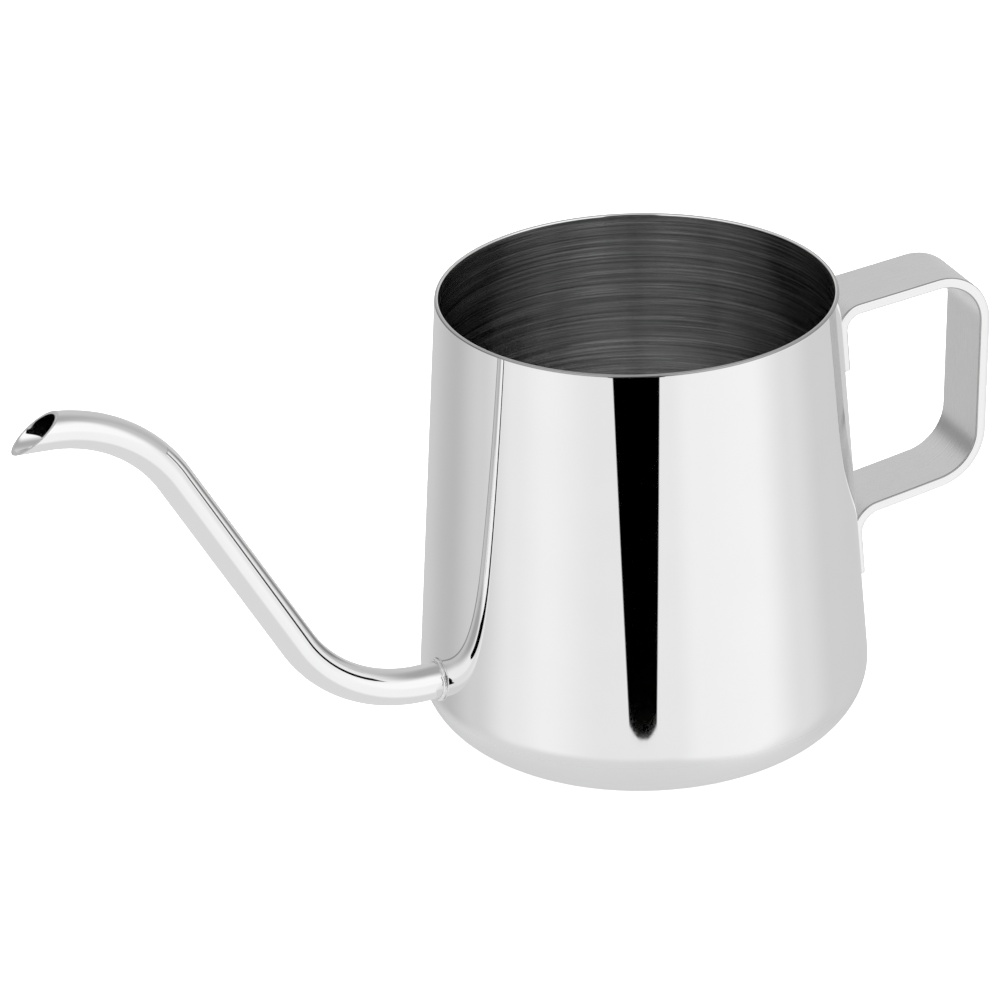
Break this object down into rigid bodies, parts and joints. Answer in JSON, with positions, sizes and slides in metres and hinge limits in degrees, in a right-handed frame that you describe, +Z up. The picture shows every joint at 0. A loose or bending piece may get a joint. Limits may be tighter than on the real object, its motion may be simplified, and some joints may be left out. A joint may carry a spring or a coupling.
{
  "type": "gooseneck kettle",
  "caption": "Small lidless pour-over kettle: tapered round steel cup with a thin S-bent tube spout low on one side and a flat-bar D handle opposite.",
  "frame": {"origin": "on the axis of the cup, on the flat underside that it stands on", "axes": "+Z up along the cup's axis, +X towards the handle, -X towards the spout, +Y across; symmetric about the XZ plane"},
  "size_m": [0.1898, 0.084, 0.0865],
  "materials": {
    "polished_steel": "mirror polished outside, brushed round the inside",
    "polished_tube": "mirror polished",
    "weld_metal": "bright, slightly uneven bead",
    "satin_steel": "satin, brushed along the bar",
    "spot_weld_metal": "dull round electrode marks"
  },
  "bodies": {
    "root": {"kettle_cup": "polished_steel", "gooseneck_spout": "polished_tube", "spout_weld_bead": "weld_metal", "handle_strap": "satin_steel", "upper_left_spot_weld": "spot_weld_metal", "upper_right_spot_weld": "spot_weld_metal", "lower_left_spot_weld": "spot_weld_metal", "lower_right_spot_weld": "spot_weld_metal"}
  },
  "joints": []
}
